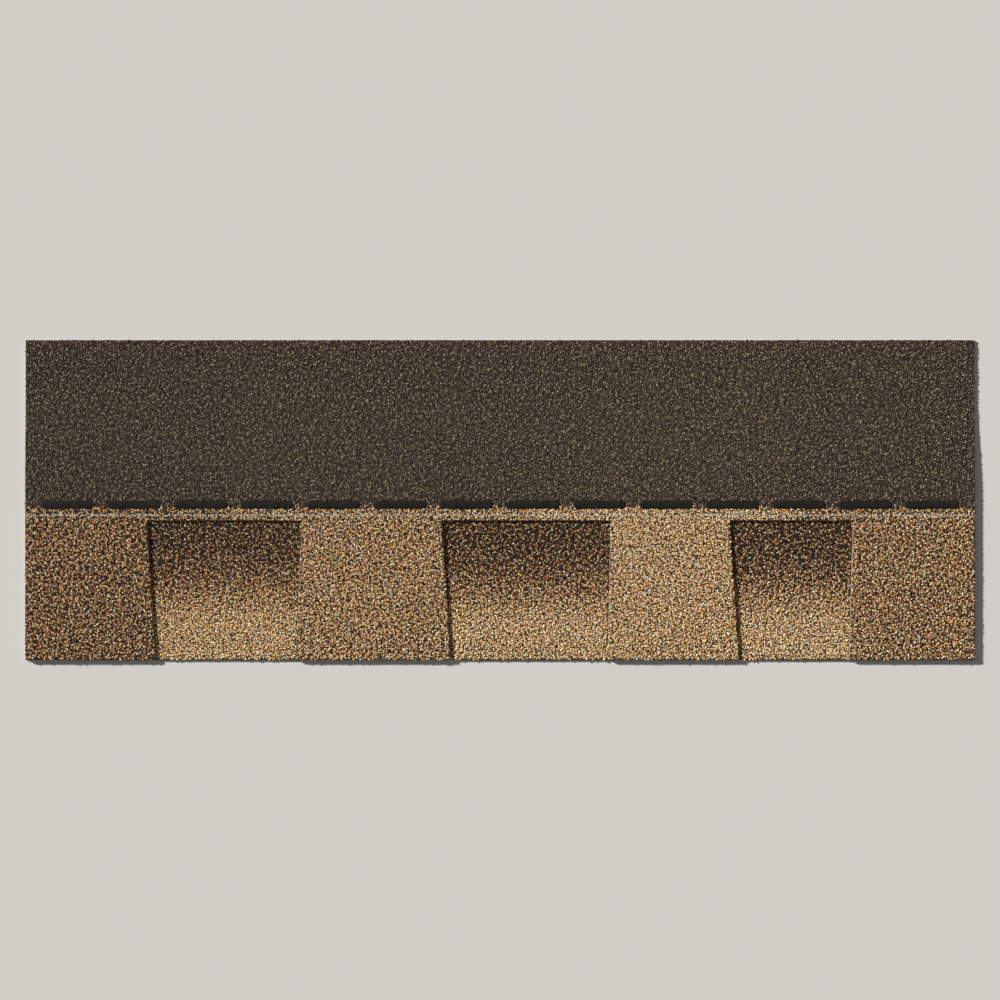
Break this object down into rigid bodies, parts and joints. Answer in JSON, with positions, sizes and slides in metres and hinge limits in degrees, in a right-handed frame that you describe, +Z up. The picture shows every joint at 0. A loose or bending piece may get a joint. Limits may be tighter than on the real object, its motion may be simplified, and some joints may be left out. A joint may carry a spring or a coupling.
{
  "type": "laminated asphalt shingle",
  "caption": "Laminated asphalt roof shingle: a granule-surfaced overlay cut into wide flared tabs, bonded to a backer strip that closes the cut-outs, lying flat.",
  "frame": {"origin": "on the floor, in the middle of the shingle's outline", "axes": "+X along the course, +Y up the roof, away from the butt edge and its tabs, +Z up out of the weather face"},
  "size_m": [1, 0.337, 0.0066],
  "materials": {
    "weather_granules": "ceramic-coated mineral granules in cream, tan, brown, rust, grey and black, on asphalt",
    "backer_granules": "the same granules, shaded from dark brown at the cut-outs' heads to tan at the butt edge",
    "laminating_asphalt": "glossy black laminating asphalt",
    "sealing_asphalt": "smooth black sealing asphalt",
    "release_film": "thin milky plastic film"
  },
  "bodies": {
    "root": {"backer_strip": "backer_granules", "common_bond_bead": "laminating_asphalt", "overlay_sheet": "weather_granules", "release_film": "release_film", "sealant_dash_01": "sealing_asphalt", "sealant_dash_02": "sealing_asphalt", "sealant_dash_03": "sealing_asphalt", "sealant_dash_04": "sealing_asphalt", "sealant_dash_05": "sealing_asphalt", "sealant_dash_06": "sealing_asphalt", "sealant_dash_07": "sealing_asphalt", "sealant_dash_08": "sealing_asphalt", "sealant_dash_09": "sealing_asphalt", "sealant_dash_10": "sealing_asphalt", "sealant_dash_11": "sealing_asphalt", "sealant_dash_12": "sealing_asphalt", "sealant_dash_13": "sealing_asphalt", "sealant_dash_14": "sealing_asphalt", "tab_1_bond_bead_1": "laminating_asphalt", "tab_1_bond_bead_2": "laminating_asphalt", "tab_1_bond_bead_3": "laminating_asphalt", "tab_2_bond_bead_1": "laminating_asphalt", "tab_2_bond_bead_2": "laminating_asphalt", "tab_2_bond_bead_3": "laminating_asphalt", "tab_3_bond_bead_1": "laminating_asphalt", "tab_3_bond_bead_2": "laminating_asphalt", "tab_3_bond_bead_3": "laminating_asphalt", "tab_4_bond_bead_1": "laminating_asphalt", "tab_4_bond_bead_2": "laminating_asphalt", "tab_4_bond_bead_3": "laminating_asphalt"}
  },
  "joints": []
}
